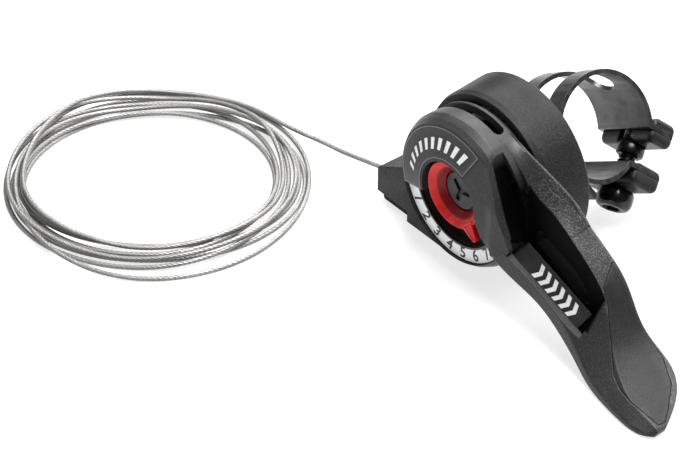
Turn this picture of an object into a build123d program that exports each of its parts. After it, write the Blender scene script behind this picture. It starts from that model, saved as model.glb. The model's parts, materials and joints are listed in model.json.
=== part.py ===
"""Seven-speed thumb shifter with its handlebar clamp and a coil of inner cable.

Millimetres, +Z up. The lever's pivot axis lies along +Y, the dial faces -Y,
and the origin is on the resting surface under the middle of the shifter.
A "depth" below is a distance along +Y from the face of the number ring.
"""

import os
from math import atan2, cos, degrees, hypot, pi, radians, sin, tan

from build123d import *

# ---- driving dimensions ---------------------------------------------------
pivot = Vector(-18.65, -26.92, 23.045)  # centre of the number ring's face

clicks = 6                             # steps between gear 1 and gear 7
click_angle = 17.0                     # degrees of lever travel for one gear

dial_radius = 17.45                    # outside of the number ring
dial_inner_radius = 13.4
dial_thickness = 1.0
channel_depth = 3.2
face_hole_radius = 8.9
hub_radius = 19.0
hub_back = 8.85
plate_outer_depth = -0.9               # the face plate is a shallow cone
plate_inner_depth = -2.5
label_thickness = 0.3
label_start = 61.0                     # degrees, from +X towards +Z
window_start = 199.0
window_edge = [(8.3, 1.2), (10.7, -4.7), (12.4, -6.9), (21.0, -15.8)]

shaft_radius = 3.55
running_clearance = 0.05
bush_radius = 5.2
spool_pitch_radius = 10.5
spool_flange_radius = 12.2
spool_front = 5.0
spool_back = 14.4
cable_depth = 12.6                     # where the cable leaves the spool
cable_radius = 0.6
track_radius = 9.4                     # circle of the detent ball
track_depth = 16.2                     # front of the index plate
ball_radius = 1.2

housing_front = 9.9
housing_back = 21.6
housing_front_radius = 20.8
housing_back_radius = 21.45
housing_cavity_radius = 18.6
housing_floor = 19.0
post_radius = 5.6

cable_slope = 12.0                     # degrees below horizontal, towards -X
cable_lean = 5.0                       # degrees towards the dial's side
boss_front = 4.0
boss_back = 16.0
boss_end = -32.0
boss_foot = -23.0
socket_radius = 2.15                   # takes a 4 mm shift casing
socket_length = 8.0

bar_radius = 11.1                      # 22.2 mm handlebar
bar_depth = 37.0
bar_tilt = 31.0                        # degrees from +X towards +Z
band_thickness = 1.1
band_width = 19.0
band_open_radius = 13.6                # mid-line of the sprung upper half
band_join = 170.0                      # where the two arcs of the band meet
band_slot_width = 8.0
bolt_distance = 17.3                   # from the handlebar axis
ear_reach = 20.6
upper_ear = 7.5                        # heights of the ears along the screw
lower_ear = -3.0
screw_turn = -45.6                     # direction of the ears across the band

screw_radius = 2.3
screw_hole_radius = 2.6
screw_head_radius = 4.5
nut_radius = 3.5

coil_centre = (-89.15, -60.52)
coil_outer_radius = 37.8
coil_inner_radius = 26.6
coil_height = 3.4

os.makedirs("parts", exist_ok=True)


# ---- helpers --------------------------------------------------------------
def at(x, depth, z):
    return pivot + Vector(x, depth, z)


def face_plane(depth):
    """Plane across the pivot axis: local x is +X, local y is +Z, normal is -Y."""
    return Plane(origin=at(0, depth, 0), x_dir=(1, 0, 0), z_dir=(0, -1, 0))


pivot_axis = Axis(pivot, (0, 1, 0))
profile_plane = Plane(origin=pivot, x_dir=(1, 0, 0), z_dir=(0, 0, 1))   # (radius, depth)


def on_circle(radius, angle):
    return (radius * cos(radians(angle)), radius * sin(radians(angle)))


def save(piece, name):
    piece.part.label = name
    export_step(piece.part, f"parts/{name}.step")


def turned(points):
    """Solid of revolution about the pivot axis from (radius, depth) points."""
    with BuildPart() as blank:
        with BuildSketch(profile_plane):
            with BuildLine():
                Polyline(*points, close=True)
            make_face()
        revolve(axis=pivot_axis)
    return blank.part


def ring(outer, inner, front, back):
    return turned([(inner, front), (outer, front), (outer, back), (inner, back)])


def slab(outline, front, back):
    """Outline drawn across the pivot axis, made solid between two depths."""
    with BuildPart() as block:
        with BuildSketch(face_plane(back)):
            add(outline)
        extrude(amount=back - front, dir=(0, -1, 0))
    return block.part


def polygon(points, corner=0.0):
    with BuildSketch() as outline:
        with BuildLine():
            Polyline(*points, close=True)
        make_face()
        if corner:
            fillet(outline.vertices(), radius=corner)
    return outline.sketch


def window_outline(radius):
    """Opening in the face plate: it shows the numbers and the pointer."""
    left = on_circle(radius + 12, window_start)
    with BuildSketch() as opening:
        with BuildLine():
            Polyline((0, 0), *window_edge, (21, -30), (-30, -30), left, close=True)
        make_face()
        Circle(radius, mode=Mode.INTERSECT)
    return opening.sketch


# ---- the lever ------------------------------------------------------------
# Five-sided profiles across the arm. start and end are (x, z) from the pivot:
# the bottom front edge and the top back edge. front, back and the shoulder's
# first value are depths; rib and the shoulder's second value are heights
# measured from start towards end.
arm_sections = [
    # start          end            front  back  rib   shoulder       corner
    ((14.0, -7.6), (14.2, 15.3), -1.95, 8.7, 11.0, (3.6, 18.5), 1.0),
    ((17.5, -10.8), (20.3, 13.8), -1.3, 9.3, 6.0, (5.4, 18.9), 1.2),
    ((25.8, -12.9), (27.5, 8.9), -1.0, 10.9, 4.8, (5.5, 18.8), 1.4),
    ((32.0, -14.8), (34.5, 2.6), -1.1, 12.2, 4.7, (5.5, 16.8), 1.4),
    ((38.0, -17.6), (41.2, -2.8), -1.7, 12.8, 4.5, (5.2, 14.4), 1.4),
    ((43.3, -20.4), (46.0, -9.7), -2.5, 13.0, 3.6, (4.2, 10.4), 1.3),
    ((48.6, -22.7), (50.5, -14.6), -3.6, 13.0, 3.0, (2.0, 8.0), 1.2),
    ((55.0, -23.0), (56.5, -17.6), -4.9, 12.8, 2.2, (-1.0, 5.4), 0.9),
    ((62.2, -23.0), (63.0, -19.3), -5.7, 9.4, 1.7, (-2.4, 3.6), 0.7),
    ((67.2, -22.7), (67.7, -20.3), -4.8, 2.8, 1.0, (-2.6, 2.35), 0.35),
    ((69.0, -22.3), (69.3, -21.0), -3.6, -0.4, 0.5, (-2.7, 1.25), 0.15),
]


def arm_loft():
    with BuildPart() as arm:
        for start, end, front, back, rib, shoulder, corner in arm_sections:
            height = hypot(end[0] - start[0], end[1] - start[1])
            up = Vector((end[0] - start[0]) / height, 0, (end[1] - start[1]) / height)
            across = Plane(
                origin=at(start[0], 0, start[1]),
                x_dir=(0, 1, 0),
                z_dir=Vector(0, 1, 0).cross(up),
            )
            with BuildSketch(across) as profile:
                with BuildLine():
                    Polyline((front, 0), (front, rib), shoulder, (back, height), (back, 0), close=True)
                make_face()
                fillet(profile.vertices(), radius=corner)
        loft()
    return arm.part


hub_blank = turned([
    (bush_radius, channel_depth),
    (face_hole_radius, channel_depth),
    (face_hole_radius, plate_inner_depth),
    (dial_radius, plate_outer_depth),
    (hub_radius - 0.7, 0.3),
    (hub_radius, 2.0),
    (hub_radius, hub_back),
    (hub_radius - 0.8, hub_back),
    (hub_radius - 0.8, hub_back + 1.0),
    (hub_radius - 1.9, hub_back + 1.0),
    (hub_radius - 1.9, spool_front),
    (bush_radius, spool_front),
])


def plate_depth(radius):
    slope = (plate_outer_depth - plate_inner_depth) / (dial_radius - face_hole_radius)
    return plate_inner_depth + slope * (radius - face_hole_radius)


# The recess along the arm lies behind the front rib. Its floor is a plane
# tilted 45 degrees that carries the side plate, and above that floor an
# opening goes right through. The profile is (depth, height) about the side
# plate's centre; the limits are seen from the front, as (x, z) from the pivot.
arm_direction = Vector(0.945, 0, -0.326)
arm_up = Vector(0.326, 0, 0.945)
plate_centre = Vector(28.7, 3.4, -10.2)
side_plate_length = 22.6
side_plate_width = 5.2
side_plate_thickness = 0.4
recess_back = 5.5
floor_drop = side_plate_thickness * 2 ** 0.5
recess_profile = [
    (-8.0, 1.0),
    (0.5, 1.0),
    (0.5, -2.2),
    (plate_centre.Y - 2.2 + floor_drop, -2.2),
    (recess_back, recess_back - plate_centre.Y - floor_drop),
    (recess_back, 30.0),
    (-8.0, 30.0),
]
recess_limits = [
    (11.8, 9.4), (17.6, -5.0), (16.6, -18.0), (41.0, -22.0), (42.8, -12.0), (43.4, -4.0), (26.0, 12.0), (15.0, 12.6),
]
opening_outline = [
    (21.4, -3.4), (38.6, -11.4), (38.3, -8.2), (36.2, -5.6), (32.6, -3.4), (28.6, -1.9), (21.4, 0.6),
]

# The soft insert under the thumb, seen from above: (x, depth) from the pivot.
pad_outline = [
    (38.6, 12.2), (41.4, 6.4), (44.2, 5.5), (48.4, 3.0), (53.2, -0.6), (56.6, -1.9), (60.4, -2.4),
    (64.2, -2.1), (68.2, -1.7), (68.4, 0.2), (66.6, 2.8), (61.8, 8.7), (55.6, 12.0),
]
pad_depth = 1.2
pad_seam = 0.12

with BuildPart() as recess_tool:
    start = at(plate_centre.X, 0, plate_centre.Z) - arm_direction * 20
    with BuildSketch(Plane(origin=start, x_dir=(0, 1, 0), z_dir=arm_direction)):
        with BuildLine():
            Polyline(*recess_profile, close=True)
        make_face()
    extrude(amount=40)
    add(slab(polygon(recess_limits, corner=1.6), -9.0, 9.0), mode=Mode.INTERSECT)
    add(ring(hub_radius + 0.6, 0.01, 3.9, recess_back + 0.5), mode=Mode.SUBTRACT)

with BuildPart() as arm_blank:
    add(arm_loft())
    add(ring(housing_back_radius + 0.5, 0.01, hub_back + 0.5, 30.0), mode=Mode.SUBTRACT)
    add(ring(hub_radius - 1.9, 0.01, spool_front, 20.0), mode=Mode.SUBTRACT)


def pad_prism(inset):
    with BuildPart() as prism:
        with BuildSketch(Plane(origin=at(0, 0, -40), x_dir=(1, 0, 0), z_dir=(0, 0, 1))):
            add(polygon(pad_outline, corner=0.6))
            offset(amount=-inset)
        extrude(amount=60, dir=(0, 0, 1))
    return prism.part


def pad_layer(inset):
    with BuildPart() as layer:
        add(arm_blank.part)
        add(pad_prism(inset), mode=Mode.INTERSECT)
        add(arm_blank.part.moved(Location((0, 0, -pad_depth))), mode=Mode.SUBTRACT)
    return layer.part


with BuildPart() as face_label:
    inner = face_hole_radius + 0.5
    outer = dial_radius - 0.4
    add(turned([
        (inner, plate_depth(inner) - 0.08),
        (outer, plate_depth(outer) - 0.08),
        (outer, plate_depth(outer) - 0.08 + label_thickness),
        (inner, plate_depth(inner) - 0.08 + label_thickness),
    ]))
    with BuildSketch(face_plane(6)) as label_sector:
        with BuildLine():
            Polyline(
                (0, 0),
                on_circle(30, label_start),
                on_circle(40, (label_start + window_start) / 2),
                on_circle(30, window_start - 0.8),
                close=True,
            )
        make_face()
    extrude(amount=12, mode=Mode.INTERSECT)
save(face_label, "face_label")

# Slot in the skirt, between two angles, with round ends.
skirt_slot_angles = (72.5, 152.0)
skirt_slot_depths = (5.2, 8.0)
slot_half = (skirt_slot_depths[1] - skirt_slot_depths[0]) / 2
slot_middle = (skirt_slot_depths[1] + skirt_slot_depths[0]) / 2

with BuildPart() as skirt_slot:
    add(ring(hub_radius + 1, hub_radius - 3, *skirt_slot_depths))
    with BuildSketch(face_plane(10)):
        with BuildLine():
            Polyline(
                (0, 0),
                on_circle(30, skirt_slot_angles[0]),
                on_circle(40, sum(skirt_slot_angles) / 2),
                on_circle(30, skirt_slot_angles[1]),
                close=True,
            )
        make_face()
    extrude(amount=12, mode=Mode.INTERSECT)
    for angle in skirt_slot_angles:
        outward = Vector(cos(radians(angle)), 0, sin(radians(angle)))
        with BuildSketch(Plane(origin=at(0, slot_middle, 0) + outward * (hub_radius - 3), z_dir=outward)):
            Circle(slot_half)
        extrude(amount=4)

nipple_angle = 310.0
nipple_radius = 1.45
nipple_place = on_circle(spool_pitch_radius, nipple_angle)

# Beside the rib the recess bites into the hub's skirt: seen from the front,
# as (x, z) from the pivot, and between two depths.
hub_bite_outline = [
    (10.1, 16.8), (13.1, 9.2), (16.0, 2.3), (19.6, -4.4), (30.0, -4.4), (30.0, 6.0), (16.0, 12.0),
]
hub_bite_depths = (-3.0, 3.9)

numbers_opening = slab(window_outline(dial_radius), -8.0, dial_thickness)
channel_opening = slab(window_outline(dial_inner_radius), -8.0, channel_depth)

with BuildPart() as lever_hub:
    add(hub_blank)
    add(numbers_opening, mode=Mode.SUBTRACT)
    add(channel_opening, mode=Mode.SUBTRACT)
    add(skirt_slot.part, mode=Mode.SUBTRACT)
    add(slab(polygon(hub_bite_outline), *hub_bite_depths), mode=Mode.SUBTRACT)
    add(face_label.part, mode=Mode.SUBTRACT)

with BuildPart() as lever_arm:
    add(arm_blank.part)
    add(numbers_opening, mode=Mode.SUBTRACT)
    add(channel_opening, mode=Mode.SUBTRACT)
    add(ring(bush_radius, 0.01, -8.0, 20.0), mode=Mode.SUBTRACT)
    add(recess_tool.part, mode=Mode.SUBTRACT)
    add(slab(polygon(opening_outline, corner=0.9), 2.0, 16.0), mode=Mode.SUBTRACT)
    add(pad_layer(0.0), mode=Mode.SUBTRACT)

with BuildPart() as lever:
    add(lever_hub.part)
    add(lever_arm.part)
save(lever, "lever")

with BuildPart() as thumb_pad:
    add(pad_layer(pad_seam))
save(thumb_pad, "thumb_pad")

floor_normal = Vector(0, -1, 0) + arm_up
with BuildPart() as side_plate:
    with BuildSketch(Plane(origin=pivot + plate_centre, x_dir=arm_direction, z_dir=floor_normal)):
        RectangleRounded(side_plate_length, side_plate_width, 0.4)
    extrude(amount=-side_plate_thickness)
    add(recess_tool.part, mode=Mode.INTERSECT)
save(side_plate, "side_plate")

with BuildPart() as number_ring:
    add(slab(window_outline(dial_radius - 0.05), 0.0, dial_thickness))
    with BuildSketch(face_plane(dial_thickness)):
        Circle(dial_inner_radius + 0.05)
    extrude(amount=dial_thickness, mode=Mode.SUBTRACT)
save(number_ring, "number_ring")

# ---- inside the hub, turning with the lever -------------------------------
groove_front = cable_depth - 1.5
groove_back = cable_depth + 1.1
groove_bottom = spool_pitch_radius - cable_radius

with BuildPart() as cable_spool:
    add(turned([
        (bush_radius, spool_front),
        (spool_flange_radius, spool_front),
        (spool_flange_radius, groove_front),
        (groove_bottom, groove_front),
        (groove_bottom, groove_back),
        (spool_flange_radius, groove_back),
        (spool_flange_radius, spool_back),
        (bush_radius, spool_back),
    ]))
    with BuildSketch(face_plane(spool_back)):
        with Locations(nipple_place):
            Circle(nipple_radius)
    extrude(amount=4.6, mode=Mode.SUBTRACT)
save(cable_spool, "cable_spool")

with BuildPart() as cable_nipple:
    with BuildSketch(face_plane(spool_back - 0.2)):
        with Locations(nipple_place):
            Circle(nipple_radius)
    extrude(amount=4.2)
save(cable_nipple, "cable_nipple")

with BuildPart() as pivot_bush:
    add(ring(bush_radius, shaft_radius + running_clearance, 3.75, spool_back))
save(pivot_bush, "pivot_bush")

spring_back = spool_back + 0.4
ball_depth = spring_back + 0.8

with BuildPart() as detent_spring:
    add(ring(spool_flange_radius - 0.4, 6.4, spool_back, spring_back))
    with BuildSketch(face_plane(spring_back)):
        with Locations((track_radius, 0)):
            Circle(0.85)
        with PolarLocations(track_radius, 2, start_angle=30, angular_range=300):
            SlotOverall(3.4, 1.0, rotation=90)
    extrude(amount=0.4, mode=Mode.SUBTRACT)
save(detent_spring, "detent_spring")

with BuildPart() as detent_ball:
    with Locations(at(track_radius, ball_depth, 0)):
        Sphere(ball_radius)
save(detent_ball, "detent_ball")

# ---- fixed parts on the pivot ---------------------------------------------
index_back = track_depth + 1.6
ball_far = ball_depth + ball_radius

with BuildPart() as index_plate:
    add(ring(15.0, post_radius + 0.05, track_depth, index_back))
    add(ring(track_radius + 1.45, track_radius - 1.45, track_depth, ball_far + 0.35), mode=Mode.SUBTRACT)
    with BuildSketch(face_plane(index_back - 0.35)):
        for click in range(clicks + 1):
            with Locations(on_circle(track_radius, click * click_angle)):
                Circle(0.8)
    extrude(amount=1.2, mode=Mode.SUBTRACT)
save(index_plate, "index_plate")

with BuildPart() as friction_washer:
    add(ring(5.0, shaft_radius + 0.1, 2.95, 3.65))
save(friction_washer, "friction_washer")

bolt_head_depth = 1.5
bolt_flange_depth = 2.3

with BuildPart() as pivot_bolt:
    add(turned([
        (0, bolt_head_depth),
        (4.5, bolt_head_depth),
        (4.8, bolt_head_depth + 0.3),
        (4.8, bolt_flange_depth),
        (shaft_radius, bolt_flange_depth),
        (shaft_radius, housing_floor),
        (2.5, housing_floor),
        (2.5, 24.2),
        (0, 24.2),
    ]))
    with BuildSketch(face_plane(bolt_head_depth + 0.5)):
        with PolarLocations(1.55, 3, start_angle=12):
            Rectangle(3.1, 1.2)
    extrude(amount=1.0, mode=Mode.SUBTRACT)
save(pivot_bolt, "pivot_bolt")

with BuildPart() as pivot_nut:
    with BuildSketch(face_plane(housing_back + 2.4)):
        RegularPolygon(radius=4.0, side_count=6, major_radius=False)
        Circle(2.5, mode=Mode.SUBTRACT)
    extrude(amount=2.4)
save(pivot_nut, "pivot_nut")

pointer_angle = -44.0
pointer_tip = 11.8

with BuildPart() as pointer_ring:
    add(turned([
        (shaft_radius, bolt_flange_depth),
        (5.1, bolt_flange_depth),
        (5.1, 1.6),
        (6.2, 0.3),
        (8.1, -1.2),
        (8.38, -0.9),
        (8.38, 2.9),
        (shaft_radius, 2.9),
    ]))
    with BuildSketch(face_plane(0.6)):
        with BuildLine():
            Polyline(
                on_circle(7.6, pointer_angle - 17),
                on_circle(pointer_tip, pointer_angle - 3),
                on_circle(pointer_tip, pointer_angle + 3),
                on_circle(7.6, pointer_angle + 17),
                close=True,
            )
        make_face()
    extrude(amount=1.8)
save(pointer_ring, "pointer_ring")

# ---- housing --------------------------------------------------------------
cable_direction = Vector(
    -cos(radians(cable_lean)) * cos(radians(cable_slope)),
    -sin(radians(cable_lean)),
    -cos(radians(cable_lean)) * sin(radians(cable_slope)),
)
spool_tangent = Vector(
    spool_pitch_radius * sin(radians(cable_slope)),
    cable_depth,
    -spool_pitch_radius * cos(radians(cable_slope)),
)
cable_exit = spool_tangent + cable_direction * ((boss_end - spool_tangent.X) / cable_direction.X)
cable_bore_radius = 0.85

rivet_offset = 7.5
rivet_radius = 1.2
rivet_places = [on_circle(rivet_offset, bar_tilt), on_circle(rivet_offset, bar_tilt + 180)]

boss_outline = [
    (boss_end, -12.9), (boss_end, boss_foot), (-9.0, boss_foot), (-3.0, -21.0), (-3.0, -14.0), (-19.5, -6.1),
]

with BuildPart() as base_housing:
    with BuildSketch(face_plane(boss_back)) as boss_face:
        add(polygon(boss_outline))
        fillet(boss_face.vertices().sort_by(Axis.X)[:2], radius=1.2)
    extrude(amount=boss_back - boss_front, dir=(0, -1, 0))
    with BuildSketch(Plane(origin=at(boss_end, boss_front, boss_foot), x_dir=(0, 1, 0), z_dir=(-1, 0, 0))):
        with BuildLine():
            Polyline((-3, -3), (-3, 3.5), (1.6, 0), (2.8, -3), close=True)
        make_face()
    extrude(amount=-11, mode=Mode.SUBTRACT)
    add(turned([
        (0.01, housing_floor),
        (housing_front_radius, housing_floor - 0.5),
        (housing_front_radius, housing_front + 1.3),
        (housing_front_radius - 0.5, housing_front),
        (0.01, housing_front),
    ]))
    add(turned([
        (0.01, housing_front + 1.3),
        (housing_front_radius, housing_front + 1.3),
        (housing_back_radius, housing_back - 0.6),
        (housing_back_radius - 0.55, housing_back),
        (0.01, housing_back),
    ]))
    add(turned([
        (0.01, housing_front - 10),
        (hub_radius + 0.6, housing_front - 10),
        (hub_radius + 0.6, housing_front),
        (housing_cavity_radius, housing_front),
        (housing_cavity_radius, housing_floor),
        (15.5, housing_floor),
        (15.5, index_back),
        (13.2, index_back),
        (13.2, housing_floor),
        (post_radius, housing_floor),
        (post_radius, spool_back + 0.3),
        (0.01, spool_back + 0.3),
    ]), mode=Mode.SUBTRACT)
    add(ring(shaft_radius, 0.01, spool_back, housing_floor), mode=Mode.SUBTRACT)
    add(ring(2.55, 0.01, housing_floor - 1, housing_back + 1), mode=Mode.SUBTRACT)
    with BuildSketch(face_plane(housing_back + 1)):
        with Locations(*rivet_places):
            Circle(rivet_radius + 0.05)
    extrude(amount=4, mode=Mode.SUBTRACT)
    bore_start = pivot + spool_tangent + cable_direction * 13
    with BuildSketch(Plane(origin=bore_start, z_dir=cable_direction)):
        Circle(cable_bore_radius)
    extrude(amount=30, mode=Mode.SUBTRACT)
    with BuildSketch(Plane(origin=pivot + cable_exit - cable_direction * socket_length, z_dir=cable_direction)):
        Circle(socket_radius)
    extrude(amount=socket_length + 5, mode=Mode.SUBTRACT)
save(base_housing, "base_housing")

# ---- handlebar clamp ------------------------------------------------------
# The bar plane looks along the handlebar: local x is +Y, local y is across
# the bar, upwards. Along the ears a point is (reach, height): reach from the
# bar's axis and height along the clamp screw.
bar_along = Vector(cos(radians(bar_tilt)), 0, sin(radians(bar_tilt)))
bar_plane = Plane(origin=at(0, bar_depth, 0), x_dir=(0, 1, 0), z_dir=bar_along)
band_radius = bar_radius + band_thickness / 2
saddle_radius = bar_radius + band_thickness + 0.2


def on_ear(reach, height):
    turn = radians(screw_turn)
    return (reach * cos(turn) - height * sin(turn), reach * sin(turn) + height * cos(turn))


def ear_outline(near, far, low, high):
    return polygon([on_ear(near, low), on_ear(far, low), on_ear(far, high), on_ear(near, high)])


screw_axis = bar_plane.from_local_coords(Vector(*on_ear(0, 1))) - bar_plane.origin


def screw_plane(height):
    origin = bar_plane.from_local_coords(Vector(*on_ear(bolt_distance, height)))
    return Plane(origin=origin, x_dir=bar_along, z_dir=screw_axis)


def sector(first, last):
    with BuildSketch() as wedge:
        with BuildLine():
            Polyline((0, 0), on_circle(30, first), on_circle(50, (first + last) / 2), on_circle(30, last), close=True)
        make_face()
    return wedge.sketch


saddle_half_width = 8.5
saddle_front = housing_back - bar_depth
saddle_top = 7.0
saddle_foot = -9.0

with BuildPart() as saddle:
    with BuildSketch(bar_plane):
        Circle(saddle_radius + 1.5)
        add(sector(150, 238), mode=Mode.INTERSECT)
        add(polygon([
            (saddle_front, saddle_foot), (-7.0, saddle_foot), (-7.0, saddle_top), (saddle_front, saddle_top),
        ]))
        add(polygon([
            on_circle(saddle_radius, 236), on_circle(saddle_radius + 1.5, 236),
            on_circle(saddle_radius + 3.3, 246), on_circle(saddle_radius + 1.9, 247.5),
        ]))
        Circle(saddle_radius, mode=Mode.SUBTRACT)
    extrude(amount=saddle_half_width, both=True)
    with BuildSketch(face_plane(housing_back + 6)):
        Circle(5.0)
        with Locations(*rivet_places):
            Circle(rivet_radius + 0.05)
    extrude(amount=8, mode=Mode.SUBTRACT)
save(saddle, "saddle")

rivet_head_depth = housing_floor - 0.8
rivet_end = bar_depth - bar_radius - 0.05

with BuildPart() as saddle_rivets:
    with BuildSketch(face_plane(rivet_end)):
        with Locations(*rivet_places):
            Circle(rivet_radius)
    extrude(amount=rivet_end - housing_floor)
    with BuildSketch(face_plane(housing_floor)):
        with Locations(*rivet_places):
            Circle(rivet_radius + 0.55)
    extrude(amount=housing_floor - rivet_head_depth)
save(saddle_rivets, "saddle_rivets")

open_offset = band_open_radius - band_radius
open_centre = (-open_offset * cos(radians(band_join)), -open_offset * sin(radians(band_join)))
lower_bend_reach = (band_radius ** 2 - lower_ear ** 2) ** 0.5
lower_bend = on_ear(lower_bend_reach, lower_ear)
turn = radians(screw_turn)
open_reach = open_centre[0] * cos(turn) + open_centre[1] * sin(turn)
open_height = open_centre[1] * cos(turn) - open_centre[0] * sin(turn)
upper_bend_reach = open_reach + (band_open_radius ** 2 - (upper_ear - open_height) ** 2) ** 0.5
upper_bend = on_ear(upper_bend_reach, upper_ear)
closed_middle = (degrees(atan2(lower_bend[1], lower_bend[0])) + band_join - 360) / 2
upper_angle = degrees(atan2(upper_bend[1] - open_centre[1], upper_bend[0] - open_centre[0]))
open_middle = (band_join + upper_angle) / 2
open_top = on_circle(band_open_radius, open_middle)
ear_end = ear_reach - band_thickness / 2
slot_angles = (37.0, 139.0)

with BuildPart() as clamp_band:
    with BuildSketch(bar_plane):
        with BuildLine():
            Line(on_ear(ear_end, lower_ear), lower_bend)
            ThreePointArc(lower_bend, on_circle(band_radius, closed_middle), on_circle(band_radius, band_join))
            ThreePointArc(
                on_circle(band_radius, band_join),
                (open_centre[0] + open_top[0], open_centre[1] + open_top[1]),
                upper_bend,
            )
            Line(upper_bend, on_ear(ear_end, upper_ear))
            offset(amount=band_thickness / 2, side=Side.BOTH)
        make_face()
    extrude(amount=band_width / 2, both=True)
    with BuildSketch(bar_plane):
        add(sector(*slot_angles))
    extrude(amount=band_slot_width / 2, both=True, mode=Mode.SUBTRACT)
    for angle in slot_angles:
        outward = bar_plane.from_local_coords(Vector(*on_circle(1, angle))) - bar_plane.origin
        with BuildSketch(Plane(origin=bar_plane.origin, z_dir=outward)):
            Circle(band_slot_width / 2)
        extrude(amount=20, mode=Mode.SUBTRACT)
    with BuildSketch(face_plane(bar_depth)):
        with Locations(*rivet_places):
            Circle(rivet_radius + 0.05)
    extrude(amount=20, mode=Mode.SUBTRACT)
    with BuildSketch(screw_plane(lower_ear - 2)):
        Circle(screw_hole_radius)
    extrude(amount=4, mode=Mode.SUBTRACT)
    with BuildSketch(screw_plane(upper_ear - 2)):
        Circle(nut_radius + 0.05)
    extrude(amount=4, mode=Mode.SUBTRACT)
save(clamp_band, "clamp_band")

cap_half_width = 9.4
nut_head_radius = 4.5
nut_flat = 14.0                        # the head's flat rests on the band and stops it turning
upper_face = upper_ear + band_thickness / 2

cap_corner = 1.7
cap_end_corner = 1.1
bar_axis = Axis(bar_plane.origin, bar_along)


def cap_block(near, far, low, high):
    """Block along the bar over an ear, all its edges rounded."""
    with BuildPart() as block:
        with BuildSketch(bar_plane) as side:
            add(ear_outline(near, far, low, high))
            fillet(side.vertices(), radius=cap_corner)
        extrude(amount=cap_half_width, both=True)
        ends = block.faces().sort_by(bar_axis)
        fillet(ends[0].edges() + ends[-1].edges(), radius=cap_end_corner)
    return block.part


with BuildPart() as upper_cap:
    add(cap_block(14.4, 21.4, 4.2, 10.3))
    with BuildSketch(bar_plane):
        add(ear_outline(10.0, ear_reach + 0.1, upper_face - band_thickness - 0.05, upper_face + 0.05))
    extrude(amount=cap_half_width + 1, both=True, mode=Mode.SUBTRACT)
    with BuildSketch(screw_plane(upper_ear)):
        Circle(nut_head_radius + 0.1)
    extrude(amount=6, mode=Mode.SUBTRACT)
    with BuildSketch(screw_plane(upper_ear)):
        Circle(nut_radius + 0.1)
    extrude(amount=-5, mode=Mode.SUBTRACT)
save(upper_cap, "upper_cap")

lower_face = lower_ear - band_thickness / 2
cap_foot = -7.0

with BuildPart() as lower_cap:
    add(cap_block(13.2, 21.6, cap_foot, lower_face + band_thickness + 0.9))
    with BuildSketch(bar_plane):
        add(ear_outline(10.0, ear_reach + 0.1, lower_face - 0.05, lower_face + band_thickness + 0.05))
    extrude(amount=cap_half_width + 1, both=True, mode=Mode.SUBTRACT)
    with BuildSketch(screw_plane(cap_foot - 1)):
        Circle(screw_hole_radius)
    extrude(amount=8, mode=Mode.SUBTRACT)
save(lower_cap, "lower_cap")

with BuildPart() as barrel_nut:
    with BuildSketch(screw_plane(0.5)):
        Circle(nut_radius)
    extrude(amount=upper_face - 0.5)
    with BuildSketch(screw_plane(upper_face)):
        Circle(nut_head_radius)
    extrude(amount=2.15)
    with BuildSketch(bar_plane):
        add(ear_outline(nut_flat - 6, nut_flat, upper_face, upper_face + 5))
    extrude(amount=cap_half_width, both=True, mode=Mode.SUBTRACT)
    with BuildSketch(screw_plane(0)):
        Circle(screw_radius + 0.05)
    extrude(amount=14, mode=Mode.SUBTRACT)
save(barrel_nut, "barrel_nut")

screw_head_foot = -12.0
screw_head_top = cap_foot - 0.3

with BuildPart() as clamp_screw:
    with BuildSketch(screw_plane(screw_head_foot)):
        Circle(screw_head_radius)
    extrude(amount=screw_head_top - screw_head_foot)
    fillet(clamp_screw.edges().sort_by(Axis(screw_plane(0).origin, screw_axis))[0], radius=1.6)
    with BuildSketch(screw_plane(screw_head_top)):
        Circle(screw_radius)
    extrude(amount=8.5 - screw_head_top)
    with BuildSketch(screw_plane(screw_head_foot)):
        RegularPolygon(radius=2.0, side_count=6, major_radius=False)
    extrude(amount=2.4, mode=Mode.SUBTRACT)
save(clamp_screw, "clamp_screw")

# ---- inner cable ----------------------------------------------------------
cable_points = [
    pivot + spool_tangent + cable_direction * 3,
    pivot + spool_tangent + cable_direction * 50.9,
    at(-56.0, 7.2, -21.3),
    at(-65.0, 4.2, -20.9),
]

arc_radii = []
for before, corner, after in zip(cable_points, cable_points[1:], cable_points[2:]):
    half_turn = (corner - before).get_angle(after - corner) / 2
    shorter = min((corner - before).length, (after - corner).length)
    arc_radii.append(0.45 * shorter / tan(radians(half_turn)))
print("cable arc radii:", [round(radius, 1) for radius in arc_radii])

with BuildPart() as inner_cable:
    with BuildLine() as route:
        FilletPolyline(*cable_points, radius=arc_radii)
    with BuildSketch(Plane(origin=route.line @ 0, z_dir=route.line % 0)):
        Circle(cable_radius)
    sweep(path=route.line)
cable_length = sum(edge.length for edge in route.edges())
print("cable volume over section x length:", inner_cable.part.volume / (pi * cable_radius ** 2 * cable_length))
save(inner_cable, "inner_cable")

with BuildPart() as cable_coil:
    with BuildSketch(Plane.XY):
        with Locations(coil_centre):
            Circle(coil_outer_radius)
            Circle(coil_inner_radius, mode=Mode.SUBTRACT)
    extrude(amount=coil_height)
save(cable_coil, "cable_coil")
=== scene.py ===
"""Looks of the thumb shifter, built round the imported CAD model.

Metres, in the model's frame: the lever turns about an axis along +Y through
the pivot, the dial faces -Y, and z = 0 is the surface that it rests on. A
"depth" is a distance along +Y from the face of the number ring.
"""

import json
from math import acos, atan2, cos, hypot, pi, radians, sin, sqrt, tan, tau

import bpy
from mathutils import Matrix, Vector


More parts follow.
